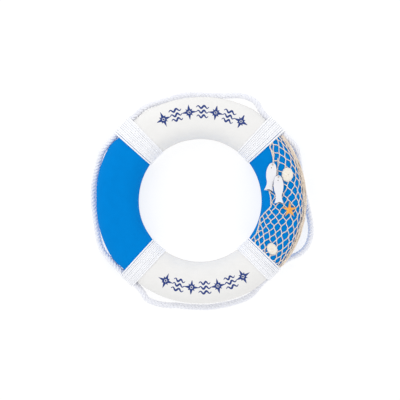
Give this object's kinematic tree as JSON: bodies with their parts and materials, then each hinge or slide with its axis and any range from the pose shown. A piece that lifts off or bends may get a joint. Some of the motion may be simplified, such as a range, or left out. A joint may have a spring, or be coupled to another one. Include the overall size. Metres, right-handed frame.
{
  "type": "decorative ring lifebuoy",
  "caption": "Decorative ring lifebuoy: canvas-covered foam ring in white and blue quarters with cord wraps, a loose perimeter rope, and netting with wooden fish, shells and a starfish.",
  "frame": {"origin": "on the surface that the ring lies on, under the centre of the ring", "axes": "+Z out of the ring's front, +Y towards the top of the ring as it is hung, +X to the right seen from the front"},
  "size_m": [0.3717, 0.3629, 0.0664],
  "materials": {
    "foam": "matte",
    "canvas_white": "matte",
    "canvas_blue": "matte",
    "cotton_cord": "matte",
    "cotton_rope": "matte",
    "net_twine": "matte",
    "painted_wood": "satin",
    "seashell": "satin",
    "starfish": "matte",
    "hot_glue": "gloss"
  },
  "bodies": {
    "ring": {"foam_core": "foam", "cover_top": "canvas_white", "cover_left": "canvas_blue", "cover_bottom": "canvas_white", "cover_right": "canvas_blue", "wrap_upper_left": "cotton_cord", "wrap_upper_right": "cotton_cord", "wrap_lower_left": "cotton_cord", "wrap_lower_right": "cotton_cord", "rope_tuck_upper_left": "cotton_rope", "rope_tuck_upper_right": "cotton_rope", "rope_tuck_lower_left": "cotton_rope", "rope_tuck_lower_right": "cotton_rope", "rope_top": "cotton_rope", "rope_right": "cotton_rope", "rope_bottom": "cotton_rope", "rope_left": "cotton_rope", "net": "net_twine", "net_edge": "net_twine", "fish_left_string": "net_twine", "fish_right_string": "net_twine", "shell_upper": "seashell", "shell_lower": "seashell", "shell_upper_glue": "hot_glue", "shell_lower_glue": "hot_glue", "starfish": "starfish", "starfish_glue": "hot_glue"},
    "fish_left": {"fish_left": "painted_wood"},
    "fish_right": {"fish_right": "painted_wood"}
  },
  "joints": [
    {"name": "fish_left_swing", "type": "hinge", "parent": "ring", "child": "fish_left", "pos_m": [0.11814, 0.05865, 0.0578], "axis": [-0.1234, -0.0533, 0.9909], "range_deg": [-12, 1.5]},
    {"name": "fish_right_swing", "type": "hinge", "parent": "ring", "child": "fish_right", "pos_m": [0.12682, 0.03805, 0.05965], "axis": [0.2155, 0.0646, 0.9744], "range_deg": [-8, 6]}
  ]
}
